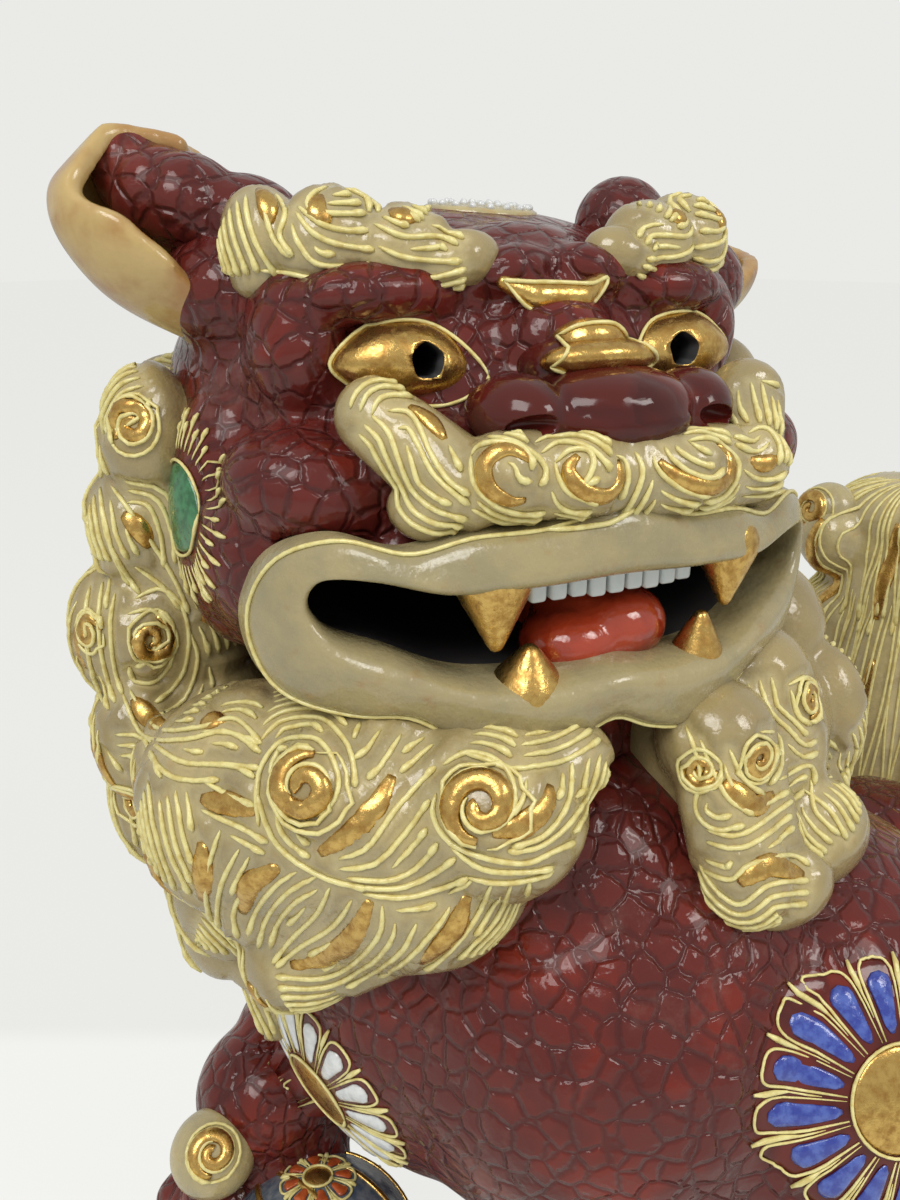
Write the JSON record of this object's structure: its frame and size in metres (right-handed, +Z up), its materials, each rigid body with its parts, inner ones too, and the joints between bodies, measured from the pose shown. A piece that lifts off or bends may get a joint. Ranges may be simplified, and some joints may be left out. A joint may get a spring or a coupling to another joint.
{
  "type": "guardian lion statue",
  "caption": "Hollow glazed porcelain guardian lion standing on its feet, head turned to its left, mouth open, one forepaw on a ball, with applied curls and a raised tail.",
  "frame": {"origin": "middle of the bounding box, on the plane the paws and the ball stand on", "axes": "+Z up; the body looks along -X and the head is turned towards -Y, the lion's left; +Y is the lion's right"},
  "size_m": [0.296, 0.203, 0.275],
  "materials": {
    "hide_glaze": "gloss",
    "cream_enamel": "gloss",
    "gilt": "satin",
    "ear_tan": "gloss",
    "lip_glaze": "gloss",
    "tooth_white": "gloss",
    "tongue_red": "gloss",
    "ball_glaze": "gloss"
  },
  "bodies": {
    "root": {"ball": "ball_glaze", "crown_tuft": "cream_enamel", "forehead_crescent": "gilt", "head_shell": "hide_glaze", "left_beard": "cream_enamel", "left_beard_curls": "cream_enamel", "left_brow": "cream_enamel", "left_ear": "ear_tan", "left_ear_fold": "hide_glaze", "left_eye": "gilt", "left_foreclaws": "gilt", "left_foreleg": "hide_glaze", "left_forepaw": "hide_glaze", "left_hind_claws": "gilt", "left_hind_leg": "hide_glaze", "left_hind_paw": "hide_glaze", "left_lower_fang": "gilt", "left_mane": "cream_enamel", "left_mane_curls": "cream_enamel", "left_moustache": "cream_enamel", "left_moustache_curls": "cream_enamel", "left_tail_curl": "cream_enamel", "left_tail_lock": "cream_enamel", "left_thigh_tuft": "cream_enamel", "left_upper_fang": "gilt", "left_wrist_curl": "cream_enamel", "lower_lip": "lip_glaze", "nape_mane": "cream_enamel", "nose": "hide_glaze", "nose_cap": "gilt", "right_beard": "cream_enamel", "right_beard_curls": "cream_enamel", "right_brow": "cream_enamel", "right_ear": "ear_tan", "right_ear_fold": "hide_glaze", "right_eye": "gilt", "right_foreclaws": "gilt", "right_foreleg": "hide_glaze", "right_forepaw": "hide_glaze", "right_hind_claws": "gilt", "right_hind_leg": "hide_glaze", "right_hind_paw": "hide_glaze", "right_lower_fang": "gilt", "right_mane": "cream_enamel", "right_mane_curls": "cream_enamel", "right_moustache": "cream_enamel", "right_moustache_curls": "cream_enamel", "right_tail_curl": "cream_enamel", "right_tail_lock": "cream_enamel", "right_thigh_tuft": "cream_enamel", "right_upper_fang": "gilt", "right_wrist_curl": "cream_enamel", "shoulder_tuft": "cream_enamel", "tail_core": "cream_enamel", "tail_crown": "cream_enamel", "tongue": "tongue_red", "torso_shell": "hide_glaze", "upper_lip": "lip_glaze", "upper_teeth": "tooth_white"}
  },
  "joints": []
}
